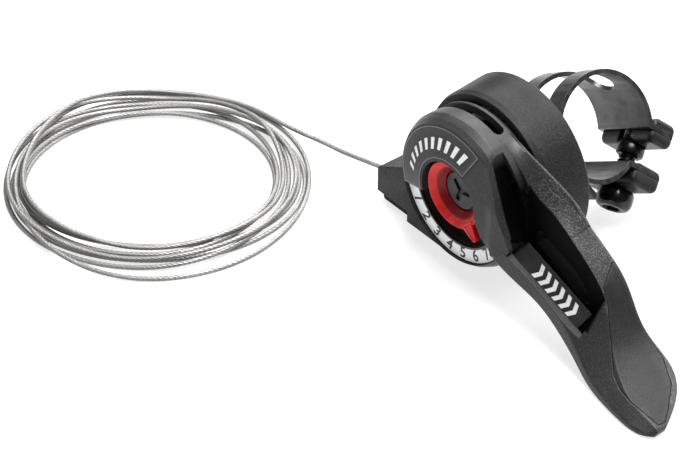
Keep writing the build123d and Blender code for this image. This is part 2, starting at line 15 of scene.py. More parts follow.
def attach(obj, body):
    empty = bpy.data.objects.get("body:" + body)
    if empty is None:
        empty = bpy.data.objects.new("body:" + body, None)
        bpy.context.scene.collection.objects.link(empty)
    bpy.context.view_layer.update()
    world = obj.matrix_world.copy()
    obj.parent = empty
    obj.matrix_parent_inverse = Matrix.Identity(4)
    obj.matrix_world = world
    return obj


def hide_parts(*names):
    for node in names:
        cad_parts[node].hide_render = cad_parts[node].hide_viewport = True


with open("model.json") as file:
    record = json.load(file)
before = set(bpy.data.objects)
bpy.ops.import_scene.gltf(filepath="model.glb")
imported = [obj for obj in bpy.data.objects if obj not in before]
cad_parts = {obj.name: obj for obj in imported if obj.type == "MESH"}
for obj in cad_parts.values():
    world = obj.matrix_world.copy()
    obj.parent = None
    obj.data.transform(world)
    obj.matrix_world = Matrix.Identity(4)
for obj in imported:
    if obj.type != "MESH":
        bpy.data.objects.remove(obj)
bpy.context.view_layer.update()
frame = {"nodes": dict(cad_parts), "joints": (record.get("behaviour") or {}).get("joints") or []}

mm = 0.001
pivot = Vector(next(joint["pos_m"] for joint in frame["joints"] if joint["name"] == "lever_turn"))
screw_joint = next(joint for joint in frame["joints"] if joint["name"] == "clamp_screw_turn")
screw_point = Vector(screw_joint["pos_m"])
screw_axis = Vector(screw_joint["axis"]).normalized()


def at(x, depth, z):
    """Point given in millimetres from the pivot."""
    return pivot + Vector((x, depth, z)) * mm


# ---- camera, floor and light ----------------------------------------------
view_azimuth, view_elevation = 50.9, 38.7       # of the camera, in degrees
view_distance = 0.4973
view_shift_left, view_shift_down = 0.0253, 0.0080
view_lens = 115.3


def make_camera():
    azimuth, elevation = radians(view_azimuth), radians(view_elevation)
    right = Vector((cos(azimuth), sin(azimuth), 0))
    back = Vector((sin(azimuth) * cos(elevation), -cos(azimuth) * cos(elevation), sin(elevation)))
    up = back.cross(right)
    data = bpy.data.cameras.new("camera")
    data.sensor_width = 36
    data.lens = view_lens
    data.clip_start = 0.01
    camera = bpy.data.objects.new("camera", data)
    camera.matrix_world = Matrix((
        (right.x, up.x, back.x, 0),
        (right.y, up.y, back.y, 0),
        (right.z, up.z, back.z, 0),
        (0, 0, 0, 1),
    ))
    camera.location = pivot + back * view_distance - right * view_shift_left - up * view_shift_down
    bpy.context.scene.collection.objects.link(camera)
    bpy.context.scene.camera = camera
    bpy.context.scene.view_settings.view_transform = "Standard"
    return right, up, back


def soft_light(name, direction, distance, size, power):
    """Panel lamp that faces the dial. Distance and size in metres, power in watts."""
    target = at(0, 5, -5)
    data = bpy.data.lights.new(name, "AREA")
    data.shape = "RECTANGLE"
    data.size, data.size_y = size
    data.energy = power
    lamp = bpy.data.objects.new(name, data)
    lamp.location = target + direction.normalized() * distance
    lamp.rotation_euler = (lamp.location - target).to_track_quat("Z", "Y").to_euler()
    bpy.context.scene.collection.objects.link(lamp)


def make_studio(right, up, back):
    """White floor that glows a little, a faint even sky and four soft panels."""
    side = 3.0
    floor_grey, floor_glow, sky_glow = 0.32, 0.74, 0.20
    corners = [(-side, -side, 0), (side, -side, 0), (side, side, 0), (-side, side, 0)]
    mesh = bpy.data.meshes.new("floor")
    mesh.from_pydata(corners, [], [(0, 1, 2, 3)])
    floor = bpy.data.objects.new("floor", mesh)
    bpy.context.scene.collection.objects.link(floor)
    paint = Paint("floor_white", (floor_grey, floor_grey, floor_grey), 0.9)
    paint.vary_roughness(40, 0.85, 0.95)
    paint.shader.inputs["Emission Color"].default_value = (1, 1, 1, 1)
    paint.shader.inputs["Emission Strength"].default_value = floor_glow
    floor.data.materials.append(paint.finish())
    world = bpy.data.worlds.new("studio")
    world.use_nodes = True
    sky = world.node_tree.nodes["Background"]
    sky.inputs["Color"].default_value = (1, 1, 1, 1)
    sky.inputs["Strength"].default_value = sky_glow
    bpy.context.scene.world = world
    above, left = Vector((0, 0, 1)) + right * 0.15, up * 0.35 - right + back * 0.2
    beside, behind = right + up * 0.8 + back * 0.1, Vector((-0.60, 0.49, 0.72))
    soft_light("overhead", above, distance=0.6, size=(0.42, 0.26), power=7.6)
    soft_light("left_panel", left, distance=0.5, size=(0.3, 0.3), power=0.3)
    soft_light("right_panel", beside, distance=0.5, size=(0.2, 0.4), power=2.0)
    soft_light("back_panel", behind, distance=0.6, size=(0.45, 0.25), power=3.2)


# ---- materials ------------------------------------------------------------
plastic_specular = 0.22
grain_size = 0.34                   # of the moulded stipple, in millimetres


class Paint:
    """A node material: a few textures in object space on a Principled shader.

    Texture scales are in cells per metre, bump distances in metres.
    """

    mix_first, mix_second, mix_result = 6, 7, 2         # the Mix node's color sockets

    def __init__(self, name, color, roughness, metallic=0.0):
        self.material = bpy.data.materials.new(name)
        self.material.use_nodes = True
        self.nodes = self.material.node_tree.nodes
        self.links = self.material.node_tree.links
        self.shader = self.nodes["Principled BSDF"]
        self.shader.inputs["Base Color"].default_value = (*color, 1)
        self.shader.inputs["Roughness"].default_value = roughness
        self.shader.inputs["Metallic"].default_value = metallic
        self.color = color
        self.place = self.nodes.new("ShaderNodeTexCoord").outputs["Object"]
        self.normal = None

    def put(self, kind, inputs=(), **settings):
        """A new node; sockets among its inputs are linked, other values are set."""
        node = self.nodes.new(kind)
        for key, value in settings.items():
            setattr(node, key, value)
        for key, value in dict(inputs).items():
            if isinstance(value, bpy.types.NodeSocket):
                self.links.new(value, node.inputs[key])
            else:
                node.inputs[key].default_value = value
        return node

    def stretched(self, scale):
        return self.put("ShaderNodeMapping", {"Vector": self.place, "Scale": scale}).outputs["Vector"]

    def noise(self, scale, detail, stretch=None, rough=0.5):
        where = self.stretched(stretch) if stretch else self.place
        return self.put(
            "ShaderNodeTexNoise", {"Vector": where, "Scale": scale, "Detail": detail, "Roughness": rough}
        ).outputs["Fac"]

    def spread(self, value, low, high, to_low, to_high):
        return self.put("ShaderNodeMapRange", {
            "Value": value, "From Min": low, "From Max": high, "To Min": to_low, "To Max": to_high,
        }).outputs["Result"]

    def math(self, operation, first, second=0.0):
        return self.put("ShaderNodeMath", {0: first, 1: second}, operation=operation).outputs[0]

    def in_mm(self):
        """The point's x, depth and z from the pivot, in millimetres."""
        node = self.put("ShaderNodeVectorMath", {0: self.place, 1: pivot}, operation="SUBTRACT")
        split = self.put("ShaderNodeSeparateXYZ", {"Vector": node.outputs[0]}).outputs
        return [self.math("MULTIPLY", split[axis], 1 / mm) for axis in "XYZ"]

    def past(self, value, edge, soft):
        """0 before the edge, 1 after it."""
        return self.spread(value, edge - soft / 2, edge + soft / 2, 0, 1)

    def before(self, value, edge, soft):
        """1 before the edge, 0 after it."""
        return self.spread(value, edge - soft / 2, edge + soft / 2, 1, 0)

    def all_of(self, *masks):
        result = masks[0]
        for mask in masks[1:]:
            result = self.math("MULTIPLY", result, mask)
        return result

    def aim(self, x, z, direction):
        """How far the point lies along a direction seen from the front."""
        return self.math(
            "ADD", self.math("MULTIPLY", x, direction[0]), self.math("MULTIPLY", z, direction[1])
        )

    def radius_from(self, x, z):
        return self.math("SQRT", self.math("ADD", self.math("MULTIPLY", x, x), self.math("MULTIPLY", z, z)))

    def blend(self, factor, first, second):
        node = self.put("ShaderNodeMix", data_type="RGBA")
        self.links.new(factor, node.inputs["Factor"])
        for place, value in ((self.mix_first, first), (self.mix_second, second)):
            socket = node.inputs[place]
            if isinstance(value, bpy.types.NodeSocket):
                self.links.new(value, socket)
            else:
                socket.default_value = (*value, 1)
        return node.outputs[self.mix_result]

    def vary_color(self, scale, other, low, high, stretch=None):
        """Patches of the other color, where the noise passes from low to high."""
        self.tint(self.spread(self.noise(scale, 4, stretch), low, high, 0, 1), other)

    def tint(self, factor, other):
        """The other color where the factor is 1."""
        base = self.shader.inputs["Base Color"]
        first = base.links[0].from_socket if base.links else self.color
        self.links.new(self.blend(factor, first, other), base)

    def vary_roughness(self, scale, low, high, stretch=None):
        value = self.spread(self.noise(scale, 5, stretch), 0.3, 0.7, low, high)
        self.links.new(value, self.shader.inputs["Roughness"])

    def round_edges(self, radius):
        node = self.put("ShaderNodeBevel", samples=4)
        node.inputs["Radius"].default_value = radius
        self.normal = node.outputs["Normal"]

    def bump(self, height, distance, strength):
        node = self.put("ShaderNodeBump", {"Height": height, "Distance": distance, "Strength": strength})
        if self.normal:
            self.links.new(self.normal, node.inputs["Normal"])
        self.normal = node.outputs["Normal"]

    def edge_wear(self, color, amount):
        """Convex edges rub paler."""
        point = self.put("ShaderNodeNewGeometry").outputs["Pointiness"]
        worn = self.spread(point, 0.52, 0.60, 0, amount)
        self.tint(self.math("MULTIPLY", worn, self.noise(300, 3)), color)

    def finish(self):
        if self.normal:
            self.links.new(self.normal, self.shader.inputs["Normal"])
        return self.material


def stippled(name, color, pale, roughness, grain=grain_size, depth=0.06, specular=plastic_specular):
    """Moulded plastic with the fine grain of a spark-eroded mould. grain and depth in mm."""
    paint = Paint(name, color, roughness)
    shade, worn = tuple(0.8 * c for c in color), tuple(1.8 * c for c in pale)
    grain_scale, edge = 1 / (grain * mm), 0.35
    paint.shader.inputs["Specular IOR Level"].default_value = specular
    paint.vary_roughness(220, roughness - 0.07, roughness + 0.09)
    paint.vary_color(grain_scale, pale, 0.42, 0.66)
    paint.vary_color(60, shade, 0.4, 0.7)
    paint.round_edges(edge * mm)
    paint.bump(paint.noise(grain_scale, 3, rough=0.6), depth * mm, 0.9)
    paint.edge_wear(worn, 0.35)
    return paint


def satin(name, color, roughness, wear, edge=0.3):
    """Smooth moulded plastic: faint flow marks, fine scratches, paler on its edges. edge in mm."""
    paint = Paint(name, color, roughness)
    paint.shader.inputs["Specular IOR Level"].default_value = plastic_specular
    paint.vary_roughness(90, roughness - 0.05, roughness + 0.08)
    paint.vary_color(45, tuple(1.25 * c for c in color), 0.42, 0.7)
    if edge:
        paint.round_edges(edge * mm)
    scratches = paint.noise(900, 4, stretch=(1, 0.25, 1))
    paint.bump(scratches, 0.008 * mm, 0.6)
    paint.edge_wear(wear, 0.4)
    return paint


def metal(name, color, roughness, streak, dark, stretch=(0.2, 1.0, 0.2)):
    """Steel or brass with drawn streaks, darker in places, paler on its edges."""
    paint = Paint(name, color, roughness, metallic=1.0)
    paint.vary_roughness(500, roughness - 0.08, roughness + 0.14, stretch)
    paint.vary_color(streak, dark, 0.4, 0.68, stretch)
    paint.round_edges(0.12 * mm)
    paint.bump(paint.noise(2600, 4, stretch), 0.006 * mm, 0.7)
    paint.edge_wear(tuple(min(1, 1.7 * c) for c in color), 0.5)
    return paint


def recess_shade_mask(paint, x, depth, z):
    """Inside the recess and the opening, which look glossy black: painted shade, as these deep hollows lie
    in shadow.
    """
    behind_rib = paint.past(depth, edge=0.45, soft=0.3)
    in_hub = paint.before(paint.radius_from(x, z), edge=19.5, soft=0.2)
    before_strip = paint.math("MAXIMUM", paint.before(depth, edge=5.7, soft=0.3), in_hub)
    right_of_hub = paint.past(paint.aim(x, z, (0.914, 0.409)), edge=15.3, soft=0.5)
    # A wide soft edge: the painted shade fades out over the skirt the way a shadow does.
    under_skirt = paint.before(paint.aim(x, z, (0.631, 0.776)), edge=18.4, soft=2.0)
    below_skirt = paint.math("MAXIMUM", under_skirt, paint.past(x, edge=17.5, soft=1.0))
    above_foot = paint.past(paint.aim(x, z, (0.326, 0.945)), edge=-2.9, soft=0.6)
    before_pad = paint.before(x, edge=43.4, soft=0.6)
    recess = paint.all_of(behind_rib, before_strip, right_of_hub, below_skirt, above_foot, before_pad)
    height = paint.aim(x, z, (0.42, 0.907))
    opening = paint.all_of(
        paint.past(height, edge=4.2, soft=0.5), paint.before(height, edge=11.3, soft=0.5),
        paint.past(x, edge=20.5, soft=0.6), paint.before(x, edge=39.6, soft=0.6),
        behind_rib, paint.before(depth, edge=14.0, soft=0.6),
    )
    return paint.math("MAXIMUM", recess, opening)


def paint_lever(name="lever_plastic", rounded=True):
    """The hub and the front rib are nearly smooth; the arm's upper strip carries the full stipple."""
    black, recess_painted_shade = (0.015, 0.015, 0.015), (0.0015, 0.0015, 0.0015)
    speckle_grey = (0.070, 0.070, 0.071)
    front_stipple, grain_depth = 0.3, 0.075
    plain_specular, recess_specular = 0.24, 0.03
    paint = satin(name, black, 0.38, wear=(0.09, 0.09, 0.092), edge=0.4 if rounded else 0.0)
    x, depth, z = paint.in_mm()
    on_strip = paint.all_of(paint.past(depth, edge=4.65, soft=0.5), paint.past(x, edge=17.5, soft=8.0))
    textured = paint.math("MAXIMUM", on_strip, front_stipple)
    grain = paint.noise(1 / (grain_size * mm), 3, rough=0.6)
    paint.bump(paint.math("MULTIPLY", grain, textured), grain_depth * mm, 0.9)
    speckle = paint.spread(grain, 0.47, 0.62, 0, 1.0)
    paint.tint(paint.math("MULTIPLY", speckle, textured), speckle_grey)
    # Painted shade: the recess and the opening are tinted near black, with little specular, in place of the
    # shadow in these hollows.
    recess = recess_shade_mask(paint, x, depth, z)
    paint.tint(recess, recess_painted_shade)
    specular = paint.spread(recess, 0, 1, plain_specular, recess_specular)
    paint.links.new(specular, paint.shader.inputs["Specular IOR Level"])
    return paint.finish()


def assign(material, *nodes):
    for node in nodes:
        mesh = frame["nodes"][node].data
        mesh.materials.clear()
        mesh.materials.append(material)


def paint_ring():
    """Silver-white band for the numbers between two black borders."""
    paint = Paint("number_ring", (0.80, 0.81, 0.83), 0.34)
    paint.vary_roughness(400, 0.28, 0.42)
    paint.vary_color(700, (0.70, 0.71, 0.73), 0.45, 0.7)
    x, _, z = paint.in_mm()
    reach = paint.radius_from(x, z)
    inner_border = paint.before(reach, edge=13.95, soft=0.08)
    border = paint.math("MAXIMUM", inner_border, paint.past(reach, edge=17.2, soft=0.08))
    paint.tint(border, (0.006, 0.006, 0.006))
    paint.bump(paint.noise(1800, 3), 0.004 * mm, 0.6)
    return paint.finish()


def paint_nodes():
    black, pale = (0.007, 0.007, 0.007), (0.030, 0.030, 0.031)
    housing = stippled("housing_plastic", black, pale, 0.46, specular=0.15)
    black, pale = (0.011, 0.011, 0.011), (0.034, 0.034, 0.035)
    pad = stippled("pad_rubber", black, pale, 0.46, grain=0.30, depth=0.055)
    plate = satin("side_plate", (0.010, 0.010, 0.010), 0.34, wear=(0.10, 0.10, 0.10))
    label = satin("label", (0.022, 0.022, 0.024), 0.42, wear=(0.12, 0.12, 0.12), edge=0.1)
    cap = satin("cap_plastic", (0.008, 0.008, 0.008), 0.28, wear=(0.09, 0.09, 0.09), edge=0.6)
    inside = satin("spool_plastic", (0.030, 0.030, 0.030), 0.5, wear=(0.09, 0.09, 0.09))
    washer = satin("washer_plastic", (0.62, 0.61, 0.56), 0.5, wear=(0.8, 0.8, 0.78))
    bolt = satin("bolt_steel", (0.009, 0.009, 0.010), 0.36, wear=(0.2, 0.2, 0.2), edge=0.15)
    band = metal("black_steel", (0.080, 0.080, 0.082), 0.34, streak=900, dark=(0.030, 0.030, 0.031))
    zinc = metal("plated_steel", (0.62, 0.62, 0.60), 0.32, streak=300, dark=(0.45, 0.45, 0.46))
    brass = metal("bush_brass", (0.72, 0.52, 0.22), 0.3, streak=400, dark=(0.55, 0.38, 0.15))
    assign(paint_lever(), "lever")
    assign(housing.finish(), "base_housing")
    assign(pad.finish(), "thumb_pad")
    assign(plate.finish(), "side_plate")
    assign(label.finish(), "face_label")
    assign(cap.finish(), "upper_cap", "lower_cap")
    assign(inside.finish(), "cable_spool")
    assign(washer.finish(), "friction_washer")
    assign(bolt.finish(), "pivot_bolt")
    assign(band.finish(), "clamp_band", "saddle")
    assign(
        zinc.finish(), "saddle_rivets", "pivot_nut", "index_plate",
        "detent_spring", "detent_ball", "cable_nipple",
    )
    assign(brass.finish(), "pivot_bush")
    assign(paint_ring(), "number_ring")


# ---- mesh helpers ---------------------------------------------------------
def add_mesh(name, points, faces, body, slot, material, smooth=True):
    """A visual piece that rides a body, in the given material; slot is not used."""
    mesh = bpy.data.meshes.new(name)
    mesh.from_pydata(points, [], faces)
    mesh.polygons.foreach_set("use_smooth", [smooth] * len(mesh.polygons))
    piece = bpy.data.objects.new(name, mesh)
    bpy.context.scene.collection.objects.link(piece)
    mesh.materials.append(material)
    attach(piece, body)
    return piece


def tube(rings, closed_ends=True):
    """Points and faces of a skin over equal rings of points."""
    count = len(rings[0])
    points = [point for ring in rings for point in ring]
    faces = []
    for row in range(len(rings) - 1):
        for column in range(count):
            a = row * count + column
            b = row * count + (column + 1) % count
            faces.append((a, b, b + count, a + count))
    if closed_ends:
        faces.append(tuple(range(count - 1, -1, -1)))
        last = (len(rings) - 1) * count
        faces.append(tuple(range(last, last + count)))
    return points, faces


# ---- the cable ------------------------------------------------------------
cable_radius = 0.6
coil_center = (-70.5, -33.6)
floor_height = -pivot.z / mm
cable_route = [                     # millimetres from the pivot
    (-0.74, 12.34, -10.89),
    (-47.41, 8.16, -20.81),
    (-56.0, 7.2, -21.3),
    (-65.0, 4.2, -20.9),
]
# How far the cable lies from the coil's middle, four times a turn: at the
# back, on the left, at the front and on the right, as the camera sees them.
coil_reaches = [
    (36.2, 32.6, 27.6, 30.6),
    (33.4, 36.4, 31.0, 33.8),
    (29.6, 34.4, 36.9, 37.0),
    (36.9, 33.2, 26.2, 29.2),
    (31.2, 37.1, 33.0, 32.0),
    (34.8, 34.9, 29.3, 28.6),
    (27.8, 33.8, 24.8, 34.6),
    (32.4, 35.7, 30.1, 36.0),
    (28.9, 32.9, 28.4, 31.0),
]
steps_per_turn = 160
points_per_turn = 40
start_angle = 82.0                  # where the route meets the coil
back_angle = 141.0                  # the direction that the camera sees as the back


def coil_plan():
    """Places on the floor along the coil, passing smoothly from reach to reach."""
    first_reach = 38.0
    reaches = [first_reach] + [reach for turn in coil_reaches for reach in turn]
    quarter = steps_per_turn // 4
    places = []
    for step in range(quarter * (len(reaches) - 2)):
        index, rest = divmod(step + quarter * (start_angle + 90 - back_angle) / 90, quarter)
        fade = (1 - cos(pi * rest / quarter)) / 2
        reach = reaches[int(index)] * (1 - fade) + reaches[int(index) + 1] * fade
        angle = radians(start_angle) + tau * step / steps_per_turn
        places.append((coil_center[0] + reach * cos(angle), coil_center[1] + reach * sin(angle)))
    return places


def laid_heights(places):
    """The cable was laid from its free end, so each stretch crosses over the later ones."""
    gap = 2 * cable_radius
    heights = [cable_radius] * len(places)
    for index in range(len(places) - 1, -1, -1):
        x, y = places[index]
        for other in range(index + steps_per_turn // 2, len(places)):
            apart = hypot(x - places[other][0], y - places[other][1])
            if apart < gap:
                heights[index] = max(heights[index], heights[other] + sqrt(gap * gap - apart * apart))
    ramp = 9                            # steps over which a crossing rises
    raised = [max(heights[max(0, i - ramp):i + ramp + 1]) for i in range(len(heights))]
    windows = [raised[max(0, i - ramp):i + ramp + 1] for i in range(len(raised))]
    return [sum(window) / len(window) for window in windows]


def cable_line():
    """The cable's middle line: a NURBS spline read back as points."""
    hidden_by_route = 2                 # coil points that the route's end stands for
    places = coil_plan()
    heights = laid_heights(places)
    every = steps_per_turn // points_per_turn
    coil = [(x, y, floor_height + z) for (x, y), z in zip(places, heights)]
    route = [at(*point) for point in cable_route + coil[hidden_by_route * every::every]]
    curve = bpy.data.curves.new("cable_route", "CURVE")
    curve.dimensions = "3D"
    track = curve.splines.new("NURBS")
    track.points.add(len(route) - 1)
    for point, place in zip(track.points, route):
        point.co = (*place, 1)
    track.order_u = 3
    track.use_endpoint_u = True
    track.resolution_u = 12
    holder = bpy.data.objects.new("cable_route", curve)
    bpy.context.scene.collection.objects.link(holder)
    line = [vertex.co.copy() for vertex in bpy.data.meshes.new_from_object(holder).vertices]
    bpy.data.objects.remove(holder)
    return line


def evenly(line, spacing):
    """Points along a line, all the same distance apart."""
    points = [line[0]]
    carried = 0.0
    for start, end in zip(line, line[1:]):
        run = (end - start).length
        where = spacing - carried
        while where < run:
            points.append(start.lerp(end, where / run))
            where += spacing
        carried = run - (where - spacing)
    return points


def paint_cable():
    """Dull steel wires, with painted shade darkening the grooves between them."""
    paint = Paint("cable_steel", (0.265, 0.261, 0.253), 0.42, metallic=0.7)
    paint.vary_roughness(1200, 0.36, 0.52)
    paint.vary_color(2500, (0.165, 0.162, 0.157), 0.45, 0.7)
    paint.vary_color(90, (0.345, 0.340, 0.329), 0.5, 0.75)
    # Painted shade: concave places, the grooves between the wires, are tinted near black.
    point = paint.put("ShaderNodeNewGeometry").outputs["Pointiness"]
    paint.tint(paint.spread(point, 0.42, 0.51, 0.95, 0), (0.03, 0.029, 0.028))
    paint.bump(paint.noise(6000, 3), 0.01 * mm, 0.5)
    return paint.finish()


def make_cable():
    spacing = 0.55 * mm
    line = evenly(cable_line(), spacing)
    wires = 7
    samples = wires * 4
    lay = 8.4 * mm                      # length of one full twist
    groove = 0.20                       # depth between wires, as a share of the radius
    rings = []
    side = Vector((0, 0, 1))
    for index, point in enumerate(line):
        ahead = line[min(index + 1, len(line) - 1)]
        behind = line[max(index - 1, 0)]
        forward = (ahead - behind).normalized()
        side = (side - forward * side.dot(forward)).normalized()
        other = forward.cross(side)
        twist = tau * index * spacing / lay
        ring = []
        for sample in range(samples):
            angle = tau * sample / samples
            bulge = abs(cos(wires * angle / 2))
            radius = (1 - groove + groove * bulge) * cable_radius * mm
            turned = angle + twist
            ring.append(point + (side * cos(turned) + other * sin(turned)) * radius)
        rings.append(ring)
    points, faces = tube(rings)
    cable = add_mesh("twisted_cable", points, faces, "shifter_base", "cable_steel", paint_cable())
    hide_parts("inner_cable", "cable_coil")


# ---- print on the dial and the side plate ---------------------------------
face_hole_radius, dial_radius = 8.9, 17.45
plate_inner_depth, plate_outer_depth = -2.5, -0.9
plate_slope = (plate_outer_depth - plate_inner_depth) / (dial_radius - face_hole_radius)
label_thickness, print_lift = 0.08, 0.015


def polar(radius, angle, depth):
    """Point on the dial, at an angle in degrees from the right."""
    return at(radius * cos(radians(angle)), depth, radius * sin(radians(angle)))


def label_depth(radius):
    """Depth of the print on the label, which lies on the face plate's cone."""
    return plate_inner_depth + plate_slope * (radius - face_hole_radius) - label_thickness - print_lift


def arc_patch(inner, outer, first, last, lean=0.0, steps=24):
    """Patch of print on the label; lean turns its outer edge ahead of its inner edge."""
    points, faces = [], []
    for step in range(steps + 1):
        angle = first + (last - first) * step / steps
        points.append(polar(inner, angle, label_depth(inner)))
        points.append(polar(outer, angle + lean, label_depth(outer)))
        if step:
            low = 2 * step - 2
            faces.append((low, low + 1, low + 3, low + 2))
    return points, faces


def joined(parts):
    """One list of points and one of faces from several."""
    points, faces = [], []
    for more_points, more_faces in parts:
        offset = len(points)
        points += more_points
        faces += [tuple(offset + index for index in face) for face in more_faces]
    return points, faces


def paint_print(name, color):
    paint = Paint(name, color, 0.45)
    paint.vary_roughness(500, 0.38, 0.55)
    paint.vary_color(1500, tuple(0.8 * c for c in color), 0.5, 0.72)
    return paint.finish()


def print_label(white, grey):
    """A thin outline and a row of leaning bars that shorten along the row."""
    inner, outer, first, last, line, end_line = 9.7, 16.9, 62.2, 197.6, 0.13, 0.5
    outline = joined([
        arc_patch(inner, inner + line, first, last, steps=64),
        arc_patch(outer - line, outer, first, last, steps=64),
        arc_patch(inner, outer, first, first + end_line, steps=1),
        arc_patch(inner, outer, last - end_line, last, steps=1),
    ])
    add_mesh("label_outline", *outline, "lever", "label", grey, smooth=False)
    count, first_angle, pitch, half_angle, lean = 10, 76, 11.2, 2.6, -4
    bar_radius, first_height, shorter = 13.1, 3.5, 0.2
    bars = []
    for index in range(count):
        middle = first_angle + index * pitch
        half = (first_height - shorter * index) / 2
        ends = (bar_radius - half, bar_radius + half, middle - half_angle, middle + half_angle)
        bars.append(arc_patch(*ends, lean=lean, steps=4))
    add_mesh("label_bars", *joined(bars), "lever", "label", white, smooth=False)


def print_numbers(ink):
    """The digits 1 to 7, upright towards the centre."""
    first_angle, last_angle, radius = -145.5, -44.6, 15.5
    count = 7
    size, slant, thickness, boldness = 4.1 * mm, 0.12, 0.006 * mm, 0.085 * mm
    for index in range(count):
        angle = first_angle + (last_angle - first_angle) * index / (count - 1)
        text = bpy.data.curves.new("digit", "FONT")
        text.body = str(index + 1)
        text.size = size
        text.shear = slant
        text.align_x = "CENTER"
        text.align_y = "CENTER"
        text.extrude = thickness
        text.offset = boldness
        holder = bpy.data.objects.new("digit", text)
        bpy.context.scene.collection.objects.link(holder)
        mesh = bpy.data.meshes.new_from_object(holder)
        bpy.data.objects.remove(holder)
        inward = Vector((-cos(radians(angle)), 0, -sin(radians(angle))))
        facing = Vector((0, -1, 0))
        sideways = inward.cross(facing)
        place = polar(radius, angle, -print_lift)
        mesh.transform(Matrix((
            (sideways.x, inward.x, facing.x, place.x),
            (sideways.y, inward.y, facing.y, place.y),
            (sideways.z, inward.z, facing.z, place.z),
            (0, 0, 0, 1),
        )))
        mesh.materials.clear()
        mesh.materials.append(ink)
        digit = bpy.data.objects.new(f"digit_{index + 1}", mesh)
        bpy.context.scene.collection.objects.link(digit)
        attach(digit, "lever")


def print_side_plate(white):
    """Plain chevrons pointing along the arm."""
    along = Vector((0.945, 0, -0.326))
    normal = Vector((0.326, -1, 0.945)).normalized()
    across = normal.cross(along).normalized()
    middle = Vector((28.7, 3.4, -10.2)) + normal * print_lift
    half_width, thickness, pitch, first_tip = 1.7, 1.15, 2.35, -4.2
    sweep = half_width * 0.55
    count = 6
    parts = []
    for index in range(count):
        tip = first_tip + index * pitch
        tail = tip - sweep
        corners = [
            (tail, -half_width), (tip, 0), (tail, half_width),
            (tail + thickness, half_width), (tip + thickness, 0), (tail + thickness, -half_width),
        ]
        points = [at(*(middle + along * a + across * b)) for a, b in corners]
        parts.append((points, [(0, 1, 4, 5), (1, 2, 3, 4)]))
    add_mesh("side_plate_chevrons", *joined(parts), "lever", "side_plate", white, smooth=False)


# ---- smooth joins of the arm with the hub ---------------------------------
def smooth(value):
    """Passes from 0 to 1 without corners."""
    value = min(1.0, max(0.0, value))
    return value * value * (3 - 2 * value)


def between(knots, value):
    """Straight-line interpolation in a list of (value, result) pairs."""
    for (low, first), (high, second) in zip(knots, knots[1:]):
        if value <= high:
            return first + (second - first) * max(0.0, (value - low) / (high - low))
    return knots[-1][1]


def spline(first, second, third, fourth, share):
    """Catmull-Rom value between the second and the third."""
    return second + 0.5 * share * (
        third - first + share * (2 * first - 5 * second + 4 * third - fourth
                                 + share * (3 * (second - third) + fourth - first))
    )


def sheets(*grids):
    """Open grids of points, joined without shared edges so that each keeps its own shading."""
    parts = []
    for grid in grids:
        count = len(grid[0])
        faces = []
        for row in range(len(grid) - 1):
            for column in range(count - 1):
                low = row * count + column
                faces.append((low, low + 1, low + count + 1, low + count))
        parts.append(([point for line in grid for point in line], faces))
    return joined(parts)


# Along the arm's upper strip: its front edge, its back edge, how round the
# back edge is and how deep the wall under it goes, all in millimetres.
strip_sections = [
    ((1.0, 5.0, 19.0), (1.0, 8.82, 19.0), 0.1, 0.7),
    ((7.74, 5.0, 17.36), (7.74, 8.82, 17.36), 0.2, 0.8),
    ((14.2, 5.52, 12.6), (14.2, 9.0, 15.35), 0.4, 3.5),
    ((19.66, 5.52, 8.22), (20.3, 9.4, 13.85), 0.5, 5.0),
    ((27.1, 5.52, 5.85), (27.5, 10.92, 8.95), 0.7, 4.2),
    ((34.4, 5.54, 1.83), (34.5, 12.2, 2.62), 1.4, 3.0),
    ((41.0, 5.6, -3.4), (41.2, 12.8, -2.8), 1.4, 3.0),
]


def strip_at(index, share):
    """Front edge, back edge, corner and wall between one section and the next."""
    near = strip_sections[index - 1:index + 3]
    flat = [front + back + (corner, wall) for front, back, corner, wall in near]
    mixed = [spline(*values, share) for values in zip(*flat)]
    return mixed[0:3], mixed[3:6], mixed[6], mixed[7]


def blend_strip(material):
    """The hub's skirt runs on into the arm's upper strip, up to its back edge."""
    steps, rows, columns, corner_points = 10, 37, 8, 6
    least_lift, more_lift = 0.03, 0.55
    wall_inset, front_wall_reach, widest_corner = 0.03, 1.2, 0.85
    top, back_wall, front_wall = [], [], []
    for row in range(rows):
        index, rest = divmod(row, steps)
        front, back, corner, wall = strip_at(index + 1, rest / steps)
        lift = least_lift + more_lift * sin(pi * row / rows)
        span = hypot(back[1] - front[1], back[2] - front[2])
        slope = (back[1] - front[1]) / span, (back[2] - front[2]) / span
        half = acos(slope[1]) / 2
        cut = min(corner / tan(half), widest_corner * span)
        line = []
        for column in range(columns + 1):
            share = column / columns * (1 - cut / span)
            x, depth, z = (a + (b - a) * share for a, b in zip(front, back))
            line.append(at(x, depth, z + lift))
        radius = cut * tan(half)
        start, turn = atan2(slope[0], slope[1]) + pi / 2, pi - 2 * half
        for part in range(1, corner_points + 1):
            angle = start - turn * part / corner_points
            depth, z = back[1] - radius + radius * cos(angle), back[2] - cut + radius * sin(angle)
            line.append(at(back[0], depth, z + lift))
        top.append(line)
        back_wall.append([line[-1], at(back[0], back[1] - wall_inset, back[2] - cut - wall)])
        inward = 1 - front_wall_reach / hypot(front[0], front[2])
        front_wall.append([at(front[0] * inward, front[1], front[2] * inward), line[0]])
    add_mesh("strip_root", *sheets(top, back_wall, front_wall), "lever", "lever_plastic", material)


